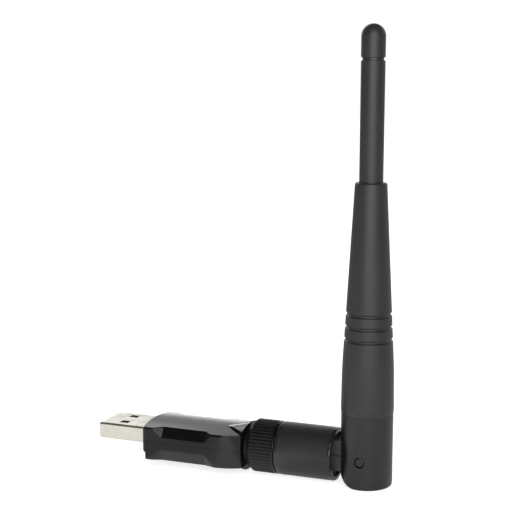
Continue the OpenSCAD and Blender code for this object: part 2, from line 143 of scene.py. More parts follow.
def turned(profile, axis, count, relief=None):
    """Closed surface of revolution: the closed profile of (station, radius) carried once round the axis. A point is the
    origin, plus the station along the axis, plus the radius times (cos a, sin a) across it. A relief changes the radius
    by angle and station."""
    angle = np.linspace(0, 2 * np.pi, count, endpoint=False)[:, None]
    station, radius = np.asarray(profile, float).T
    radius = np.broadcast_to(radius, (count, len(radius)))
    if relief:
        radius = relief(angle, station, radius)
    origin, direction, first, second = axis
    points = (origin + station[:, None] * direction + (radius * np.cos(angle))[..., None] * first
              + (radius * np.sin(angle))[..., None] * second)
    return grid(points, along=True)


def bar(start, end, radius, axis, count=64):
    """Plain round bar between two stations of an axis, for boring holes: a rectangle carried round the axis."""
    return turned([(start, 0), (start, radius), (end, radius), (end, 0)], axis, count)


def prism(outline, low, high, axis="y", middle=None):
    """Closed prism: an outline carried along an axis between two stations, with both ends drawn to its middle point.
    The outline is in the other two axes, in the order of their letters."""
    outline = np.asarray(outline, float)
    middle = outline.mean(0) if middle is None else np.asarray(middle, float)
    flat = np.stack([np.broadcast_to(middle, outline.shape), outline, outline,
                     np.broadcast_to(middle, outline.shape)], 1)
    station = np.broadcast_to([low, low, high, high], flat.shape[:2])
    return grid(np.insert(flat, "xyz".index(axis), station, axis=2))


def box(low, high):
    """Prism with a rectangular outline between two corners."""
    (x0, y0, z0), (x1, y1, z1) = low, high
    return prism([(x0, z0), (x1, z0), (x1, z1), (x0, z1)], y0, y1)


def tube(path, radius, count=24):
    """Round tube with closed ends: a circle carried along a path that lies in the plane y = 0. A point is the path's
    point plus the radius times cos a along the path's normal and sin a along Y; the ends shrink to the path."""
    path = np.concatenate([path[:1], path, path[-1:]])
    tangent = np.gradient(path, axis=0)
    tangent[0], tangent[-1] = tangent[1], tangent[-2]
    tangent /= np.linalg.norm(tangent, axis=1)[:, None]
    normal = np.stack([-tangent[:, 2], np.zeros(len(path)), tangent[:, 0]], 1)
    reach = np.full(len(path), radius)
    reach[[0, -1]] = 0
    a = np.linspace(0, 2 * np.pi, count, endpoint=False)[:, None, None]
    ring = np.cos(a) * normal + np.sin(a) * np.array([0, 1.0, 0])
    return grid(path + reach[:, None] * ring)


def solid(name, *parts):
    """Mesh object in millimetres from the vertices and faces of several surfaces: seams and poles are welded, edges
    with no face are dropped, and the faces are turned outwards."""
    counts = np.cumsum([0] + [len(p[0]) for p in parts])
    vertices = np.concatenate([p[0] for p in parts])
    faces = np.concatenate([p[1] + start for p, start in zip(parts, counts)])
    mesh = bpy.data.meshes.new(name)
    mesh.from_pydata(vertices, [], faces.tolist())
    bm = bmesh.new()
    bm.from_mesh(mesh)
    bmesh.ops.remove_doubles(bm, verts=bm.verts, dist=WELD)
    bmesh.ops.delete(bm, geom=[e for e in bm.edges if not e.link_faces], context="EDGES")
    bmesh.ops.recalc_face_normals(bm, faces=bm.faces)
    bm.to_mesh(mesh)
    bm.free()
    made = bpy.data.objects.new(name, mesh)
    bpy.context.scene.collection.objects.link(made)
    return made


def worked(made, cut=(), joined=(), bevel=0.0, sheet=0.0):
    """The same object after machining: other surfaces joined to it and cut from it, a wall given to an open sheet on
    its inner side, and its sharp edges broken by a bevel."""
    tools = [("UNION", solid("tool", part)) for part in joined]
    tools += [("DIFFERENCE", solid("tool", part)) for part in cut]
    for operation, tool in tools:
        step = made.modifiers.new("shape", "BOOLEAN")
        step.operation, step.object, step.solver = operation, tool, "MANIFOLD"
    if sheet:
        step = made.modifiers.new("wall", "SOLIDIFY")
        step.thickness, step.offset, step.use_even_offset = sheet, -1, True
    if bevel:
        step = made.modifiers.new("edges", "BEVEL")
        step.width, step.segments, step.limit_method, step.angle_limit = bevel, 2, "ANGLE", BEVEL_ANGLE
        step.use_clamp_overlap = True
    shaped = bpy.data.meshes.new_from_object(made.evaluated_get(bpy.context.evaluated_depsgraph_get()))
    made.modifiers.clear()
    made.data = shaped
    for _, tool in tools:
        bpy.data.objects.remove(tool)
    return made


def piece(made, material, node, rides=True):
    """Finishes an object as a piece: it goes to metres, gets its material and its weighted normals, stands for its CAD
    node and rides on that node's body."""
    made.data.transform(Matrix.Scale(MM, 4))
    made.data.materials.clear()
    made.data.materials.append(material)
    made.data.shade_smooth()
    made.data.set_sharp_from_angle(angle=SHARP_ANGLE)
    step = made.modifiers.new("normals", "WEIGHTED_NORMAL")
    step.keep_sharp = True
    made.name = made.data.name = node + "_surface"
    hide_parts(node)
    if rides:
        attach(made, frame["nodes"][node]["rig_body"])
    return made


# ---------------------------------------------------------------- materials

def linear(code):
    """Linear colour of an sRGB hex value."""
    c = np.array([int(code[i:i + 2], 16) for i in (1, 3, 5)]) / 255
    c = np.where(c <= 0.04045, c / 12.92, ((c + 0.055) / 1.055) ** 2.4)
    return (*c, 1.0)


def add(tree, kind, inputs=(), **settings):
    """Adds a node with its settings. Each input, by its name or place, is a value to set or an output to link."""
    node = tree.nodes.new(kind)
    for key, value in settings.items():
        setattr(node, key, value)
    for key, value in dict(inputs).items():
        if isinstance(value, bpy.types.NodeSocket):
            tree.links.new(value, node.inputs[key])
        else:
            node.inputs[key].default_value = value
    return node


def per(size):
    """Scale of a pattern whose features are this many millimetres apart, on Object coordinates in metres."""
    return 1 / (size * MM)


# A rim's polish is full up to the first distance and gone at the second, in millimetres, and leaves a share of the
# roughness
RIM_FULL, RIM_GONE, RIM_SHARE = 0.6, 1.1, 0.35


def finish(name, colours, mottle, roughness, grain, bump, stretch=(1, 1, 1), metallic=0.0, ior=None, rims=()):
    """Material of one surface. A broad mottle, sized in millimetres, leads between two colours and two roughnesses, and
    a fine grain of its own size, drawn out by the stretch, is the relief, with its height in millimetres. Near the
    rims, given by their X, handling has polished the surface."""
    material = bpy.data.materials.new(name)
    material.use_nodes = True
    tree = material.node_tree
    tree.nodes.clear()
    place = add(tree, "ShaderNodeTexCoord").outputs["Object"]
    drawn = add(tree, "ShaderNodeMapping", {"Vector": place, "Scale": stretch}).outputs["Vector"]
    broad = add(tree, "ShaderNodeTexNoise",
                {"Vector": place, "Scale": per(mottle), "Detail": 4.0, "Roughness": 0.6}).outputs["Fac"]
    fine = add(tree, "ShaderNodeTexNoise",
               {"Vector": drawn, "Scale": per(grain), "Detail": 3.0, "Roughness": 0.55}).outputs["Fac"]
    tone = add(tree, "ShaderNodeMapRange", {"Value": broad, "From Min": 0.3, "From Max": 0.7}).outputs["Result"]
    shade = add(tree, "ShaderNodeMix", {0: tone, 6: linear(colours[0]), 7: linear(colours[1])}, data_type="RGBA")
    worn = add(tree, "ShaderNodeMath", {0: broad, 1: fine}, operation="ADD").outputs[0]
    dull = add(tree, "ShaderNodeMapRange", {"Value": worn, "From Min": 0.7, "From Max": 1.3,
                                            "To Min": roughness[0], "To Max": roughness[1]}).outputs["Result"]
    for rim in rims:
        along = add(tree, "ShaderNodeSeparateXYZ", {0: place}).outputs["X"]
        away = add(tree, "ShaderNodeMath", {0: along, 1: -rim * MM}, operation="ADD").outputs[0]
        away = add(tree, "ShaderNodeMath", {0: away}, operation="ABSOLUTE").outputs[0]
        share = add(tree, "ShaderNodeMapRange", {"Value": away, "From Min": RIM_FULL * MM, "From Max": RIM_GONE * MM,
                                                 "To Min": RIM_SHARE, "To Max": 1.0}).outputs["Result"]
        dull = add(tree, "ShaderNodeMath", {0: dull, 1: share}, operation="MULTIPLY").outputs[0]
    relief = add(tree, "ShaderNodeBump", {"Height": fine, "Strength": 1.0, "Distance": bump * MM}).outputs["Normal"]
    shader = add(tree, "ShaderNodeBsdfPrincipled", {"Base Color": shade.outputs[2], "Roughness": dull,
                                                    "Normal": relief, "Metallic": metallic})
    if ior:
        shader.inputs["IOR"].default_value = ior
    add(tree, "ShaderNodeOutputMaterial", {"Surface": shader.outputs[0]})
    return material


# Nickel-plated steel strip, deep drawn: a warm silver with fine draw lines along X. The real lines are about 0.02 mm
# apart and are drawn ten times as coarse so that they show.
nickel = finish("nickel_plated_drawn_steel", ("#d9d3c7", "#e6e2d8"), 3.0, (0.14, 0.26), 0.2, 0.0006,
                stretch=(0.06, 1, 1), metallic=1.0)
# Black ABS from a polished mould: deep black with a wet shine that is a little uneven over a few millimetres.
gloss_abs = finish("polished_moulded_black_abs", ("#08080a", "#0d0d0f"), 5.0, (0.10, 0.17), 1.6, 0.0008, ior=1.42)
# Charcoal polyurethane from a spark-eroded mould: a soft matt grey-black with a fine even grain. The real grain is
# about 0.05 mm and is drawn five times as coarse so that it shows.
matt_pu = finish("spark_textured_charcoal_polyurethane", ("#232325", "#28282a"), 7.0, (0.38, 0.46), 0.26, 0.012,
                 ior=1.5)
# The same plastic on the barrel, which is held to turn the antenna, with rims polished by handling. Its colour is a
# little darker: painted shade for the weaker light low down.
handled_shaded_pu = finish("handled_shaded_charcoal_polyurethane", ("#202022", "#252527"), 7.0, (0.36, 0.44), 0.26, 0.010, ior=1.45,
                    rims=BARREL_X)
# The same plastic on the smaller foot mouldings, whose mould was a little smoother, in shaded and lit copies: the fork
# and the pins darker as painted shade, the tongue that turns between them lighter as painted light.
shaded_foot = finish("spark_textured_shaded_charcoal_fork", ("#0f0f10", "#151517"), 5.0, (0.36, 0.44), 0.26, 0.010, ior=1.53)
lit_foot = finish("light_painted_charcoal_tongue", ("#2f2f31", "#353537"), 5.0, (0.42, 0.52), 0.26, 0.008, ior=1.5)
# Black nylon nut from a plain mould: a darker black with a satin shine, which fingers have polished on the plain rim.
nylon = finish("satin_moulded_black_nylon", ("#080809", "#0b0b0c"), 3.0, (0.42, 0.54), 0.3, 0.006, ior=1.36,
               rims=NUT_X[1:])
# Gold flash over nickel and brass: a yellow mirror softened by the turning marks under it.
gold = finish("gold_flashed_brass", ("#d9a441", "#e8bb62"), 1.2, (0.16, 0.28), 0.12, 0.0008, stretch=(1, 0.2, 0.2),
              metallic=1.0)
# The same plating on the plug's contacts, painted a dull brown-gold: painted shade that keeps the latch windows dark.
shade_dulled_gold = finish("shade_dulled_gold_contacts", ("#4e4230", "#64553a"), 1.2, (0.40, 0.55), 0.12, 0.0008,
                   stretch=(0.2, 1, 1), metallic=1.0)
# Free-cutting brass as turned: a duller yellow with rings of tool marks along X.
brass = finish("turned_brass", ("#b58a3c", "#c79d50"), 2.0, (0.24, 0.40), 0.1, 0.0015, stretch=(1, 0.1, 0.1),
               metallic=1.0)
# Black PBT moulding: a dull black that makes the latch windows read as dark holes.
pbt = finish("moulded_black_pbt", ("#141313", "#1b1a19"), 3.0, (0.40, 0.52), 0.3, 0.002, ior=1.55)
# Turned fluoroplastic: a waxy white.
waxy = finish("turned_white_fluoroplastic", ("#e9e9e4", "#f2f2ee"), 1.5, (0.40, 0.55), 0.15, 0.002, ior=1.36)
# Glass-fibre board under green solder mask: a glossy deep green, paler over the copper pours.
mask = finish("solder_masked_glass_epoxy", ("#0d3a22", "#1c6a3c"), 1.4, (0.20, 0.34), 0.3, 0.003, ior=1.5)
# Moulded epoxy package: matt near-black with a fine filler grain.
epoxy = finish("moulded_filled_epoxy", ("#151617", "#1d1e20"), 0.8, (0.55, 0.70), 0.12, 0.004, ior=1.55)
# Tinned steel sheet, pressed: a grey metal with a soft frosted shine.
tinned = finish("tinned_pressed_steel", ("#b9bdc0", "#cfd2d4"), 1.0, (0.28, 0.42), 0.15, 0.0015, metallic=1.0)
# Fired ceramic of chip capacitors: a dull tan.
ceramic = finish("fired_tan_ceramic", ("#8f7352", "#a98a64"), 0.5, (0.45, 0.60), 0.1, 0.002, ior=1.7)
# Extruded brown fluoropolymer cable jacket: a smooth brown with a soft shine along it.
jacket = finish("extruded_brown_cable_jacket", ("#4a2d1e", "#5a3826"), 1.5, (0.30, 0.42), 0.3, 0.002, ior=1.36)
# Drawn copper wire: red-brown metal, slightly dulled.
copper = finish("drawn_copper_wire", ("#b06a43", "#c47f57"), 1.0, (0.26, 0.40), 0.1, 0.001, stretch=(1, 1, 0.1),
                metallic=1.0)

# CAD nodes that keep their own meshes
CARRIED = {
    "usb_insulator": pbt, "usb_contacts": shade_dulled_gold, "circuit_board": mask, "radio_chip": epoxy, "shield_can": tinned,
    "crystal": tinned, "voltage_regulator": epoxy, "chip_capacitors": ceramic, "jack_insulator": waxy,
    "jack_pin": gold, "nut_insert": brass, "retaining_ring": brass, "connector_body": gold,
    "connector_insulator": waxy, "connector_socket": gold, "barrel_cable": jacket, "antenna_cable": jacket,
    "dipole_sleeve": brass, "radiator_wire": copper,
}
for node, material in CARRIED.items():
    frame["nodes"][node].data.materials.clear()
    frame["nodes"][node].data.materials.append(material)


# ---------------------------------------------------------------- plug

def plug_shell():
    """Open tube of the plug's shell: a rounded rectangle carried along X, drawn in at the mouth by a depth times the
    square of what is left of the lead-in, with the cells of the latch windows left out of the grid."""
    corner, lead_depth, lead_x = 0.6, 0.12, 0.9
    hole_x, hole_y, half_x, half_y = 6.5, 2.93, 1.25, 1.1       # latch windows' centres and half sizes
    mouth_x, wall_x, skin = 1.0, 1.6, 0.05                      # end of the fine rows, start of the others; tolerance
    half = PLUG / 2
    hole_ends = hole_x - half_x, hole_x + half_x
    hole_sides = np.add.outer((-hole_y, hole_y), (-half_y, half_y)).ravel()
    flat_y = np.sort(np.concatenate([hole_sides, np.linspace(corner - half[0], half[0] - corner, 13)]))
    half_section = np.concatenate([
        np.stack([flat_y, np.full(len(flat_y), -half[1])], 1),
        arc((half[0] - corner, corner - half[1]), corner, -90, 0, 8)[1:],
        arc((half[0] - corner, half[1] - corner), corner, 0, 90, 8),
    ])
    section = np.concatenate([half_section, -half_section])
    section = section[np.linalg.norm(section - np.roll(section, 1, 0), axis=1) > 1e-6]
    x = np.concatenate([np.linspace(0, mouth_x, 6), np.linspace(wall_x, hole_ends[0], 5),
                        np.linspace(*hole_ends, 4)[1:], np.linspace(hole_ends[1], PLUG_IN, 9)[1:]])
    inset = lead_depth * np.clip(1 - x / lead_x, 0, 1) ** 2
    shrink = 1 - inset[None, :, None] / half
    points = np.concatenate([np.broadcast_to(x[None, :, None], (len(section), len(x), 1)),
                             section[:, None, :] * shrink], 2)
    vertices, quads = grid(points)
    centre = vertices[quads].mean(1)
    in_window = ((np.abs(centre[:, 0] - hole_x) < half_x) & (np.abs(np.abs(centre[:, 1]) - hole_y) < half_y)
                 & (np.abs(centre[:, 2]) > half[1] - skin))
    return vertices, quads[~in_window]


piece(worked(solid("shell", plug_shell()), sheet=0.3, bevel=0.07), nickel, "usb_shell")


# ---------------------------------------------------------------- housing

def housing_outline():
    """Plan of the housing, counter-clockwise from the middle of the plug end: points and outward normals. Each stretch
    is an arc, or a straight run between two points; the far side is the near side mirrored."""
    corner_r, taper_x, taper_r, nib = 1.2, 36.0, 13.118, 0.8
    end_c = (BODY_X[0] + END_R, 0.0)
    corner_y = corner_r - HALF_W
    corner_c = (end_c[0] - np.sqrt((END_R - corner_r) ** 2 - corner_y ** 2), corner_y)
    lean = np.degrees(np.arcsin(-corner_c[1] / (END_R - corner_r)))
    taper_c = (taper_x, taper_r - HALF_W)
    nib_x = BODY_X[1] - nib
    nib_c = (nib_x, taper_c[1] - np.sqrt((taper_r - nib) ** 2 - (nib_x - taper_x) ** 2))
    swing = np.degrees(np.arcsin((nib_x - taper_x) / (taper_r - nib)))
    runs = [                        # centre, radius, first and last angle, points
        (end_c, END_R, 180, 180 + lean, 22), (corner_c, corner_r, 180 + lean, 270, 24),
        (taper_c, taper_r, 270, 270 + swing, 36), (nib_c, nib, 270 + swing, 360, 8),
    ]
    points = [arc(*run) for run in runs]
    normals = [arc((0, 0), 1, *run[2:]) for run in runs]
    side_x = np.linspace(corner_c[0], taper_x, 140)[1:-1]
    side = np.stack([side_x, np.full(len(side_x), -HALF_W)], 1)
    back_y = np.linspace(nib_c[1], 0, 32)[1:]
    back = np.stack([np.full(len(back_y), BODY_X[1]), back_y], 1)
    near = np.concatenate([points[0], points[1][1:], side, points[2], points[3][1:], back])
    out = np.concatenate([normals[0], normals[1][1:], np.tile([0.0, -1.0], (len(side), 1)), normals[2],
                          normals[3][1:], np.tile([1.0, 0.0], (len(back), 1))])
    flip = np.array([1, -1])
    return (np.concatenate([near, near[-2:0:-1] * flip]), np.concatenate([out, out[-2:0:-1] * flip]))


def top_height(x, y):
    """Upper surface: the crown, an arc across the housing, less a quarter round along the plug end. The round's drop is
    its radius less the square root of its radius squared less the square of what is left to its inner edge."""
    crown = CROWN_Z - CROWN_R + np.sqrt(CROWN_R ** 2 - y ** 2)
    inside = END_R - np.hypot(x - BODY_X[0] - END_R, y)
    left = np.clip(END_ROUND - inside, 0, END_ROUND)
    return crown - END_ROUND + np.sqrt(END_ROUND ** 2 - left ** 2)


def bottom_height(x, y):
    """Lower surface: the flat underside."""
    return np.full_like(x, BOTTOM_Z)


def slant(x, start, end, flares, crease=0.02):
    """How far a slanted grip plane stands out at a station: nothing between its ends, then the distance past an end
    divided by that end's flare, with the creases eased."""
    return np.maximum(smooth_max((start - x) / flares[0], (x - end) / flares[1], crease), 0)


def cover(height, edge_z, tilt, slanted, least, step_z, step_depth):
    """One cover as a closed surface. Each point of the outline carries a profile of (distance inwards, height): the
    parting edge, the wall, a step that sets the plug end back past a height, the slanted grip plane and the outer face,
    whose height is a function of x and y. The slanted plane starts at the edge's height, is tilted by an angle in
    degrees, and is never lower than a least height, which is the break of the face's edge. From the face's edge, rows
    run straight to a spine on the mid plane, and from the parting edge to a spine under it."""
    seam, spine_x, facing, lip = 0.035, (17.0, 40.2), 0.8, 0.35
    ease, rows = [0, 0.03, 0.6, 0.1, 0.22, 0.22, 0], 5      # of the profile's corners, and points on each
    face_rows, crowding = 48, 1.3                           # rows over the face, closer together at its edge
    p, n = housing_outline()
    sine, cosine = np.sin(np.radians(tilt)), np.cos(np.radians(tilt))
    rise = np.sign(edge_z - AXIS_Z)
    spine = np.stack([np.interp(p[:, 0], BODY_X, spine_x), np.zeros(len(p))], 1)
    turn = np.clip(-n[:, 0] / facing, 0, 1)
    set_back = step_depth * turn ** 2 * (3 - 2 * turn)
    foot = p - n * set_back[:, None]
    brim = height(foot[:, 0], foot[:, 1])
    for _ in range(3):              # the face's height and the place of its edge settle together
        corner = rise * (brim - edge_z) * sine
        off = np.minimum(slanted(p[:, 0]), corner - least(p[:, 0]) * sine)
        leg_z = edge_z + rise * off / sine
        leg_d = (corner - off) / cosine
        edge = foot - n * leg_d[:, None]
        brim = height(edge[:, 0], edge[:, 1])
    wall_z = AXIS_Z + rise * seam
    break_z = np.where(set_back > 0, step_z, (wall_z + leg_z) / 2)
    zero = np.zeros(len(p))
    inner = set_back + leg_d
    corners = np.stack([
        np.stack([zero + seam, zero + AXIS_Z], 1), np.stack([zero, zero + wall_z], 1),
        np.stack([zero, break_z], 1), np.stack([set_back, break_z], 1), np.stack([set_back, leg_z], 1),
        np.stack([inner, brim], 1), np.stack([inner + lip, height(*(edge - n * lip).T)], 1),
    ], 1)
    profile = eased(corners, ease, closed=False, steps=rows)[:, rows - 1:-rows]
    wall = np.concatenate([p[:, None, :] - n[:, None, :] * profile[..., :1], profile[..., 1:]], 2)
    reach = np.linspace(0, 1, face_rows)[None, 1:, None] ** crowding
    face = wall[:, -1:, :2] + (spine[:, None, :] - wall[:, -1:, :2]) * reach
    face = np.concatenate([face, height(face[..., 0], face[..., 1])[..., None]], 2)
    under = np.concatenate([spine, np.full((len(p), 1), AXIS_Z)], 1)[:, None, :]
    return grid(np.concatenate([under, wall, face], 1))


RAMP_X, RAMP_SPREAD = 36.5, 0.912   # where the ramps to the nut start, and how fast their half width grows along X


def ramp(face, rise, radius):
    """Raised ramp that leads from a face to the nut, upwards where rise is 1 and downwards where it is -1: a wedge seen
    from above, its half width growing along X, under a leaning cylinder of a radius. The ridge rises along X, and
    across it the height falls by the radius less the square root of the radius squared less y squared. Each station is
    a closed loop over the face and back along a flat foot inside the cover; the last one shrinks to a point."""
    lean, past, sunk, middle = np.radians(14.0), 0.04, 0.65, 0.3
    end, foot = BODY_X[1] + past, face - rise * sunk
    x = np.concatenate([np.linspace(RAMP_X, end, 60), [end]])
    y = RAMP_SPREAD * (x - RAMP_X)[:, None] * np.linspace(-1, 1, 25)
    drop = (radius - np.sqrt(radius ** 2 - y ** 2)) / np.cos(lean)
    z = face + rise * (np.tan(lean) * (x - RAMP_X)[:, None] - drop)
    loop = np.concatenate([np.stack([y, z], 2), np.stack([y[:, ::-1], np.full_like(y, foot)], 2)], 1)
    loop[-1] = (0, foot + rise * middle)
    points = np.concatenate([np.broadcast_to(x[:, None, None], (*loop.shape[:2], 1)), loop], 2)
    return grid(points.swapaxes(0, 1))


def ramp_groove():
    """Shallow groove round the upper ramp: a triangle seen from above, a little wider and longer than the ramp."""
    depth, margin, ahead, clear, end = 0.32, 0.3, 0.35, 3.0, BODY_X[1] + 1
    half = RAMP_SPREAD * (end - RAMP_X) + margin
    return prism([(RAMP_X - ahead, 0), (end, -half), (end, half)], CROWN_Z - depth, CROWN_Z + clear, "z")


def housing_room():
    """Room inside the covers, as the surfaces to cut: the board's shelf, the parts over and under it, the plug's tail
    and the jack. The second starts a hair later, so that no two faces are in one plane."""
    start, shelf_end, end, hair, over = 16.4, 38.2, 41.4, 0.01, 1.0
    shelf_y, shelf_z, room_y, room_z = 7.2, (-2.6, 0.8), 6.0, (-4.8, 2.35)
    plug_gap, jack_r = 0.02, 3.2
    tail = PLUG / 2 + plug_gap
    return [
        box((start, -shelf_y, shelf_z[0]), (shelf_end, shelf_y, shelf_z[1])),
        box((start + hair, -room_y, room_z[0]), (end, room_y, room_z[1])),
        box((BODY_X[0] - over, *-tail), (start + over, *tail)),
        bar(end - over, BODY_X[1] + over, jack_r, X_AXIS),
    ]


def edge_break(x):
    """Height of the break along the top's edge: a narrow one, widened towards the plug, and from the grip plane's
    further end to a little before the nut. Each widening runs out over a length."""
    narrow, middle_x = 0.1, 30
    plug_more, plug_x, plug_run = 0.2, 18.5, 1.5
    nut_more, nut_x, nut_run = 0.3, 38.6, 1.2
    plug_end = np.clip((plug_x - x) / plug_run, 0, 1)
    nut_end = np.clip((nut_x - x) / nut_run, 0, 1) * (x > middle_x)
    return narrow + plug_more * plug_end + nut_more * nut_end


upper = cover(top_height, edge_z=0.7, tilt=35.6, slanted=lambda x: slant(x, start=20.3, end=33.1, flares=(2.0, 1.6)),
              least=edge_break, step_z=0.0, step_depth=0.0)
lower = cover(bottom_height, edge_z=-2.9, tilt=19.5,
              slanted=lambda x: slant(x, start=20.0, end=33.0, flares=(3.0, 3.0)),
              least=lambda x: 0.45, step_z=-4.0, step_depth=0.95)
# The groove is cut before the ramp is joined, because afterwards it would take the ramp away
grooved = worked(solid("upper", upper), cut=[ramp_groove()])
piece(worked(grooved, joined=[ramp(CROWN_Z, rise=1, radius=16.0)], cut=housing_room()),
      gloss_abs, "top_cover")
piece(worked(solid("lower", lower), joined=[ramp(BOTTOM_Z, rise=-1, radius=12.5)], cut=housing_room()),
      gloss_abs, "bottom_cover")


# ---------------------------------------------------------------- jack and nut

def thread_relief(angle, station, radius):
    """Screw thread: where the tube's wall is the thread's outer radius, it drops by a triangle wave of the station less
    the share of a pitch that the angle has turned, with flat crests and roots. It fades in and out at its ends."""
    pitch, depth, start, end, fade, inner_r = 0.7056, 0.36, 42.9, 50.3, 0.4, 2.9
    steepness, crest = 1.3, 0.15
    phase = (station / pitch - angle / (2 * np.pi)) % 1
    wave = np.clip(steepness * np.abs(2 * phase - 1) - crest, 0, 1)
    live = np.clip((station - start) / fade, 0, 1) * np.clip((end - station) / fade, 0, 1) * (radius > inner_r)
    return radius - depth * wave * live


JACK_X, JACK_R, JACK_BORE = (41.3, 50.5), 3.12, 2.32
thread_x = np.linspace(42.0, 50.2, 190)
jack_tube = np.concatenate([
    [(JACK_X[0], JACK_BORE), (JACK_X[0], JACK_R)], np.stack([thread_x, np.full_like(thread_x, JACK_R)], 1),
    [(50.3, 3.05), (JACK_X[1], 2.85), (JACK_X[1], 2.5), (50.32, JACK_BORE)]])       # mouth, with its edges broken
BLOCK_X, BLOCK_HALF = (38.2, 41.4), 3.1
block_outline = BLOCK_HALF * np.array([(-1, -1), (1, -1), (1, 1), (-1, 1)]) + (0, AXIS_Z)
PRONG_X, PRONG_Y, PRONG_HALF, PRONG_Z = (36.0, 38.3), 2.6, 0.5, (-1.26, -0.26)
prongs = [box((PRONG_X[0], y - PRONG_HALF, PRONG_Z[0]), (PRONG_X[1], y + PRONG_HALF, PRONG_Z[1]))
          for y in (-PRONG_Y, PRONG_Y)]
jack_bore = bar(38.0, 42.0, JACK_BORE, X_AXIS)
block = worked(solid("block", prism(eased(block_outline, 0.3), *BLOCK_X, "x")), joined=prongs, cut=[jack_bore],
               bevel=0.06)
tube_part = solid("tube", turned(jack_tube, X_AXIS, 64, thread_relief))
bm = bmesh.new()
bm.from_mesh(block.data)
bm.from_mesh(tube_part.data)
bm.to_mesh(block.data)
bm.free()
bpy.data.objects.remove(tube_part)
piece(block, gold, "jack_body")

RIBS, RIB_R, RIB_END = 48, 7.17, NUT_X[1] - 0.55    # ribs' count, their tops' radius, and where the plain rim starts
RIB_POINTS = 14                                     # points round the nut for each rib


def rib_relief(angle, station, radius):
    """Ribbed grip: between the neck and the plain rim, the wall is at most the bottom of a round groove, one to each
    rib. Across a groove its radius is the groove's centre less the square root of its own radius squared less the
    offset squared."""
    groove_r, centre_r, neck_r, crease = 0.29, RIB_R + 0.12, 6.2, 0.02
    pitch = 2 * np.pi / RIBS
    offset = RIB_R * ((angle + pitch / 2) % pitch - pitch / 2)
    groove = centre_r - np.sqrt(np.maximum(groove_r ** 2 - offset ** 2, 0))
    groove = np.where(np.abs(offset) < groove_r, groove, RIB_R + 1)
    ribbed = (radius > neck_r) & (station < RIB_END)
    return np.where(ribbed, -smooth_max(-radius, -groove, crease), radius)


NUT_BORE, NUT_NECK, NECK_END = 5.02, 5.5, 44.4
CHAMFER_R, CHAMFER_END, RUN_OUT = 6.3, 45.5, 0.06
nut_profile = eased([(NUT_X[0], NUT_BORE), (NUT_X[0], NUT_NECK), (NECK_END, NUT_NECK), (NECK_END, CHAMFER_R),
                     (CHAMFER_END, RIB_R), (RIB_END - RUN_OUT, RIB_R), (RIB_END + RUN_OUT, RIB_R), (NUT_X[1], RIB_R),
                     (NUT_X[1], NUT_BORE)], [0.05, 0.2, 0.1, 0.12, 0.15, 0.02, 0.02, 0.4, 0.05])
piece(solid("nut", turned(nut_profile, X_AXIS, RIBS * RIB_POINTS, rib_relief)), nylon, "coupling_nut")


# ---------------------------------------------------------------- swivel

# The barrel starts nearer to the nut than its CAD solid, so that no dark gap shows
BARREL_START, BARREL_R, BARREL_BORE, BARREL_HOLE = NUT_X[1] + 0.03, 7.14, 6.02, 3.6
CORE_X, CORE_END, CORE_R = 61.22, BARREL_X[1] - 1.0, 6.0        # the knuckle's round core, inside the barrel
barrel = eased([(BARREL_START, BARREL_HOLE), (BARREL_START, BARREL_R), (BARREL_X[1], BARREL_R),
                (BARREL_X[1], BARREL_BORE), (CORE_X, BARREL_BORE), (CORE_X, BARREL_HOLE)],
               [0.1, 0.5, 0.5, 0.12, 0.05, 0.05], steps=9)
piece(solid("barrel", turned(barrel, X_AXIS, 128)), handled_shaded_pu, "swivel_barrel")

TONGUE, TONGUE_ROOT = (3.0, 4.1), 66.0                          # half thickness and half height; its start in the core
CHANNEL_X, CHANNEL_HALF, PAST = 71.17, 1.25, 90.0               # cable's channel; clear of the tongue's end
LINE_HALF, LINE_TOP, LINE_BOTTOM = 0.42, 3.2, 2.74              # groove of the mould line on each side of the tongue
CORE_START, CORE_RING = CORE_X + 0.05, 4.0                      # the ring splits the long quads of the core's end face
core = turned(eased([(CORE_START, CABLE_BORE), (CORE_START, CORE_RING), (CORE_START, CORE_R), (CORE_END, CORE_R),
                     (CORE_END, CABLE_BORE)], 0.03, steps=3), X_AXIS, 96)
tongue = np.concatenate([[(TONGUE_ROOT, HINGE_Z + TONGUE[1]), (TONGUE_ROOT, HINGE_Z - TONGUE[1])],
                         arc((HINGE_X, HINGE_Z), TONGUE[1], -90, 90, 40)])
channel = box((CHANNEL_X, -CHANNEL_HALF, AXIS_Z - CHANNEL_HALF), (PAST, CHANNEL_HALF, FAR))
FLANGE_X, FLANGE_R = (60.5, 62.7), 4.6                          # room for the connector's flange
flange_room = bar(*FLANGE_X, FLANGE_R, X_AXIS)
cable_bore = bar(60.0, HINGE_X, CABLE_BORE, X_AXIS, 32)
pin_bore = bar(-FAR, FAR, PIN_R + 0.01, HINGE)
mould_lines = [prism([(s * LINE_TOP, HINGE_Z + LINE_HALF), (s * LINE_TOP, HINGE_Z - LINE_HALF),
                      (s * LINE_BOTTOM, HINGE_Z)], 67.0, PAST, "x") for s in (-1, 1)]
knuckle = worked(solid("knuckle", prism(tongue, -TONGUE[0], TONGUE[0], middle=(72.0, HINGE_Z))), joined=[core],
                 cut=[channel, flange_room, cable_bore, pin_bore, *mould_lines], bevel=0.1)
piece(knuckle, lit_foot, "hinge_knuckle")

PIN_INNER, PIN_EDGE, PIN_END = 1.35, 6.58, 6.7                  # inner end, and edge and middle of the domed outer end
pins = [turned(eased([(s * PIN_INNER, 0), (s * PIN_INNER, PIN_R), (s * PIN_EDGE, PIN_R), (s * PIN_END, 0)],
                     [0, 0.1, 0.3, 0]), HINGE, 48) for s in (-1, 1)]
piece(solid("pins", *pins), shaded_foot, "hinge_pins")

BEND_R = 4.7
bend = np.insert(arc((HINGE_X - BEND_R, AXIS_Z + BEND_R), BEND_R, -90, 0, 40), 1, 0, axis=1)
cable = piece(solid("bend", tube(bend, CABLE_R)), jacket, "cable_bend", rides=False)
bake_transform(cable)


# ---------------------------------------------------------------- antenna

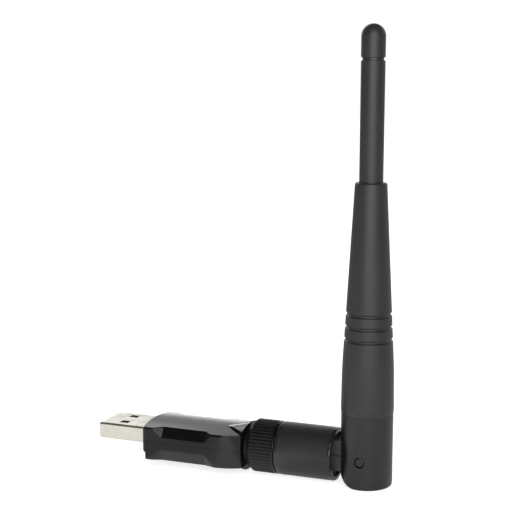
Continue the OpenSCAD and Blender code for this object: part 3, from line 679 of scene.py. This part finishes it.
# Heights are above the hinge axis. The spigot's are its radius and top; the slot takes the tongue, and the sweep is the
# round that clears the barrel's end.
BASE_R, BASE_H, SPIGOT = 6.85, (-7.6, 12.0), (5.4, 20.0)
SLOT_R, SLOT_HALF, SWEEP_R = 4.35, 3.15, 7.65
base = turned(eased([(BASE_H[0], 0), (BASE_H[0], BASE_R), (BASE_H[1], BASE_R), (BASE_H[1], SPIGOT[0]),
                     (SPIGOT[1], SPIGOT[0]), (SPIGOT[1], 0)], [0, 0.9, 0.05, 0.05, 0.2, 0]), ANTENNA, 128)
hinge_point = np.array([HINGE_X, HINGE_Z])
fork_slot = hinge_point + np.concatenate([[(-FAR, -FAR), (SLOT_R, -FAR)], arc((0, 0), SLOT_R, 0, 90, 24),
                                          [(-FAR, SLOT_R)]])
sweep = hinge_point + np.concatenate([[(-FAR, 0)], arc((0, 0), SWEEP_R, 180, 270, 32), [(0, -FAR), (-FAR, -FAR)]])
rod_bore = bar(0, 30, CABLE_BORE, ANTENNA, 32)
cheek_bore = bar(-FAR, FAR, PIN_R + 0.15, HINGE)
fork = worked(solid("base", base), cut=[
    prism(fork_slot, -SLOT_HALF, SLOT_HALF, middle=hinge_point + (-5, -5)),
    prism(sweep, -FAR, FAR, middle=hinge_point + (-15, -15)), rod_bore, cheek_bore], bevel=0.14)
piece(fork, shaded_foot, "antenna_base")

SLEEVE = np.array([(24.1, 6.8), (72.5, 4.15)])      # height and radius of the cone's foot and top


def sleeve_radius(h):
    """Outer radius of the sleeve's cone: a straight line from its foot to its top."""
    return np.interp(h, *SLEEVE.T)


def groove(h):
    """Corners of one round-bottomed grip groove at a height."""
    half, floor_half, depth = 0.5, 0.22, 0.38
    lips = np.array([h - half, h - floor_half, h + floor_half, h + half])
    return np.stack([lips, sleeve_radius(lips) - np.array([0, depth, depth, 0])], 1)


GROOVES, GROOVE_EASE = (31.75, 35.1, 38.45), 0.16
ROD_R, ROD_FOOT, NECK, TOP = 3.1, 58.0, (103.3, 104.1), 112.5
SOCKET_R, SOCKET_TOP = SPIGOT[0] + 0.02, SPIGOT[1] + 0.1                # sleeve's socket for the spigot
sleeve = np.concatenate([
    [(BASE_H[1], SOCKET_R), (BASE_H[1], 6.88), (BASE_H[1] + 1.4, 6.96)], SLEEVE[:1], *map(groove, GROOVES),
    SLEEVE[1:], [(SLEEVE[1, 0], ROD_R + 0.02), (ROD_FOOT, ROD_R + 0.02), (ROD_FOOT, sleeve_radius(ROD_FOOT) - 1.2),
                 (SOCKET_TOP, 5.0), (SOCKET_TOP, SOCKET_R)]])
sleeve_ease = np.concatenate([[0.03, 0.1, 0.5, 3.0], np.full(4 * len(GROOVES), GROOVE_EASE),
                              [0.5, 0.1, 0.1, 0.3, 0.1, 0.05]])
piece(solid("sleeve", turned(eased(sleeve, sleeve_ease), ANTENNA, 128)), matt_pu, "tapered_sleeve")

ROD_BORE, BORE_TOP, NECK_R, TENON_R, TENON_TOP = 2.2, 101.7, 2.75, 2.0, 106.7   # the tenon holds the tip
rod = eased([(ROD_FOOT + 0.1, ROD_BORE), (ROD_FOOT + 0.1, ROD_R), (NECK[0], ROD_R), (NECK[0], NECK_R),
             (NECK[1], NECK_R), (NECK[1], TENON_R), (TENON_TOP, TENON_R), (TENON_TOP, 0), (BORE_TOP, 0),
             (BORE_TOP, ROD_BORE)], [0.1, 0.1, 0.12, 0.05, 0.05, 0.05, 0.1, 0, 0, 0.1])
piece(solid("rod", turned(rod, ANTENNA, 96)), matt_pu, "antenna_rod")

DOME_R, TIP_BORE, TIP_ROOF = ROD_R + 0.02, TENON_R + 0.02, TENON_TOP + 0.1
tip = np.concatenate([[(TIP_ROOF, 0), (TIP_ROOF, TIP_BORE), (NECK[1], TIP_BORE), (NECK[1], 2.98),
                       (NECK[1] + 0.02, 3.06), (NECK[1] + 0.1, DOME_R)], arc((TOP - DOME_R, 0), DOME_R, 90, 0, 24)])
piece(solid("tip", turned(tip, ANTENNA, 96)), matt_pu, "tip_cap")


# ---------------------------------------------------------------- studio

def plane(name, half, z):
    """Flat square sheet at a height, in metres."""
    corners = np.array([(-half, -half, z), (half, -half, z), (half, half, z), (-half, half, z)])
    mesh = bpy.data.meshes.new(name)
    mesh.from_pydata(corners, [], [(0, 1, 2, 3)])
    made = bpy.data.objects.new(name, mesh)
    bpy.context.scene.collection.objects.link(made)
    return made


# Glow of the floor, as smooth steps: name, axis, start and end in millimetres, and the value before and after, which
# may be an earlier step. "away" is the distance from the object's mid plane. The glow that the object mirrors and is
# lit by is painted light: a pool of light on the near side, with painted shade where the pool stops short of the floor
# under the object and where the glow behind it is weak.
FLOOR_STEPS = [
    ("front_start", "X", 22, 42, 0.0, 1.0), ("front_end", "Y", -17, -8, 1.0, 0.0),
    ("side_start", "Y", -26, -13, 0.0, 1.0), ("side_end", "Y", -8, -3, 1.0, 0.0),
    ("near_start", "X", 10, 17, 0.0, 1.0), ("pool_light", "X", 48, 56, 0.70, 0.0),
    ("near_table", "X", 6, 12, 0.46, 0.35), ("far_table", "X", 65, 90, 0.05, 0.24),
    ("table", "Y", -4, 12, "near_table", "far_table"), ("seen", "away", 50, 250, 0.74, 1.0),
]
# How the steps are put together: name, operation, and its parts by name
FLOOR_SUMS = [
    ("front", "MULTIPLY", "front_start", "front_end"), ("side", "MULTIPLY", "side_start", "side_end"),
    ("near", "MULTIPLY", "side", "near_start"), ("pool", "MAXIMUM", "near", "front"),
    ("mirrored", "MULTIPLY_ADD", "pool", "pool_light", "table"),
]


def paper():
    """Matt white sheet of studio paper, lit from below as product tables are. The camera sees an almost even glow, and
    only a part of its white takes the object's shadow. What the object mirrors and is lit by is painted light: a pool
    of light on the near side, and painted shade where the pool stops short of the floor under the object and where the
    glow behind it is weak. A soft mottle keeps it from being one flat colour."""
    material = bpy.data.materials.new("backlit_matt_paper")
    material.use_nodes = True
    tree = material.node_tree
    tree.nodes.clear()
    place = add(tree, "ShaderNodeTexCoord").outputs["Object"]
    mottle = add(tree, "ShaderNodeTexNoise", {"Vector": place, "Scale": per(40.0)}).outputs["Fac"]
    white = add(tree, "ShaderNodeMix", {0: mottle, 6: linear("#e9e9e9"), 7: linear("#efefef")}, data_type="RGBA")
    across = add(tree, "ShaderNodeSeparateXYZ", {0: place}).outputs
    away = add(tree, "ShaderNodeMath", {0: across["Y"]}, operation="ABSOLUTE").outputs[0]
    axes = {"X": across["X"], "Y": across["Y"], "away": away}
    glow = {}
    for name, axis, start, end, before, after in FLOOR_STEPS:
        glow[name] = add(tree, "ShaderNodeMapRange", {
            "Value": axes[axis], "From Min": start * MM, "From Max": end * MM,
            "To Min": glow.get(before, before), "To Max": glow.get(after, after),
        }, interpolation_type="SMOOTHSTEP").outputs["Result"]
    for name, operation, *parts in FLOOR_SUMS:
        joined = enumerate(glow[part] for part in parts)
        glow[name] = add(tree, "ShaderNodeMath", joined, operation=operation).outputs[0]
    camera_ray = add(tree, "ShaderNodeLightPath").outputs["Is Camera Ray"]
    through = add(tree, "ShaderNodeMix", {0: camera_ray, 2: glow["mirrored"], 3: glow["seen"]}, data_type="FLOAT")
    shader = add(tree, "ShaderNodeBsdfPrincipled", {
        "Base Color": white.outputs[2], "Roughness": 1.0, "Specular IOR Level": 0.0,
        "Emission Color": (1, 1, 1, 1), "Emission Strength": through.outputs[0]})
    add(tree, "ShaderNodeOutputMaterial", {"Surface": shader.outputs[0]})
    return material


floor = plane("studio_floor", 2.0, FLOOR_Z * MM)
floor.data.materials.append(paper())

scene = bpy.context.scene
scene.view_settings.view_transform = "Standard"
scene.view_settings.look = "None"

# Light of the studio's far wall, as smooth steps of the direction: name, axis, start and end, and the strength before
# and after, which may be an earlier step. It is brightest low down on the left, with a card above, and ends overhead.
WALL_STEPS = [
    ("left", "X", -0.1, 0.3, 2.9, 0.9), ("card", "X", -0.425, -0.365, 1.9, 0.8),
    ("crest", "Z", 0.30, 0.44, 0.62, "card"), ("ground", "Z", 0.02, 0.13, 0.3, "left"),
    ("low", "Z", 0.12, 0.22, "ground", "crest"), ("lift", "Z", 0.52, 0.70, "low", 0.0),
    ("behind", "Y", 0.1, 0.75, 0.06, 1.0),
]
ROOM_LIGHT, BACKDROP = 0.09, 1.02   # light from all round, and the white that the camera sees

world = bpy.data.worlds.new("studio")
scene.world = world
world.use_nodes = True
sky = world.node_tree
sky.nodes.clear()
toward = add(sky, "ShaderNodeSeparateXYZ", {0: add(sky, "ShaderNodeTexCoord").outputs["Generated"]}).outputs
wall = {}
for name, axis, start, end, before, after in WALL_STEPS:
    wall[name] = add(sky, "ShaderNodeMapRange", {
        "Value": toward[axis], "From Min": start, "From Max": end,
        "To Min": wall.get(before, before), "To Max": wall.get(after, after),
    }, interpolation_type="SMOOTHSTEP").outputs["Result"]
lit = add(sky, "ShaderNodeMath", {0: wall["lift"], 1: wall["behind"], 2: ROOM_LIGHT}, operation="MULTIPLY_ADD")
camera_ray = add(sky, "ShaderNodeLightPath").outputs["Is Camera Ray"]
strength = add(sky, "ShaderNodeMix", {0: camera_ray, 2: lit.outputs[0], 3: BACKDROP}, data_type="FLOAT")
backdrop = add(sky, "ShaderNodeBackground", {"Color": (1, 1, 1, 1), "Strength": strength.outputs[0]})
add(sky, "ShaderNodeOutputWorld", {"Surface": backdrop.outputs[0]})


def softbox(name, place, aim, size, power):
    """Rectangular area light at a place, facing a point, with its width and height, all in metres, and its watts."""
    lamp = bpy.data.lights.new(name, "AREA")
    lamp.shape, lamp.size, lamp.size_y, lamp.energy = "RECTANGLE", *size, power
    made = bpy.data.objects.new(name, lamp)
    made.location = place
    made.rotation_euler = (Vector(aim) - Vector(place)).to_track_quat("-Z", "Y").to_euler()
    scene.collection.objects.link(made)
    return made


# Key light from the near right
softbox("front_softbox", (0.36, -0.62, 0.22), (0.06, 0, 0.04), (0.6, 0.28), 2.3)
# Overhead fill that evens out the floor, and that no glossy surface mirrors
floor_light = softbox("floor_fill", (0.05, 0.1, 0.9), (0.05, 0, 0), (1.0, 1.0), 1.65)
floor_light.visible_glossy = False
# Small light square on to the near side, for the short highlights on its edges
softbox("near_softbox", (0.06, -0.58, 0.15), (0.02, 0, 0), (0.1, 0.1), 0.30)
# Long strip from above on the near side, for the highlights along the round pieces
softbox("high_softbox", (0.20, -0.39, 0.46), (0.03, 0, 0), (0.6, 0.16), 0.66)

# Camera at the photograph's place: turned round Z, pitched down and rolled, with a focal length in pixels of its frame
TURN, PITCH, ROLL = np.radians((21.08, 9.232, 0.226))
FOCAL, FRAME, EYE = 1296.0, 530.0, np.array([169.79, -317.80, 104.30])
level = np.array([-np.sin(TURN), np.cos(TURN), 0])
forward = level * np.cos(PITCH) - np.array([0, 0, np.sin(PITCH)])
upright = level * np.sin(PITCH) + np.array([0, 0, np.cos(PITCH)])
right = np.cross(forward, upright)
right, upright = (np.cos(ROLL) * right + np.sin(ROLL) * upright, np.cos(ROLL) * upright - np.sin(ROLL) * right)
pose = np.eye(4)
pose[:3] = np.stack([right, upright, -forward, EYE * MM], 1)
camera = bpy.data.objects.new("camera", bpy.data.cameras.new("camera"))
camera.data.sensor_width = 36.0
camera.data.lens = camera.data.sensor_width * FOCAL / FRAME
camera.data.clip_start = 0.01
camera.matrix_world = Matrix(pose.tolist())
scene.collection.objects.link(camera)
scene.camera = camera
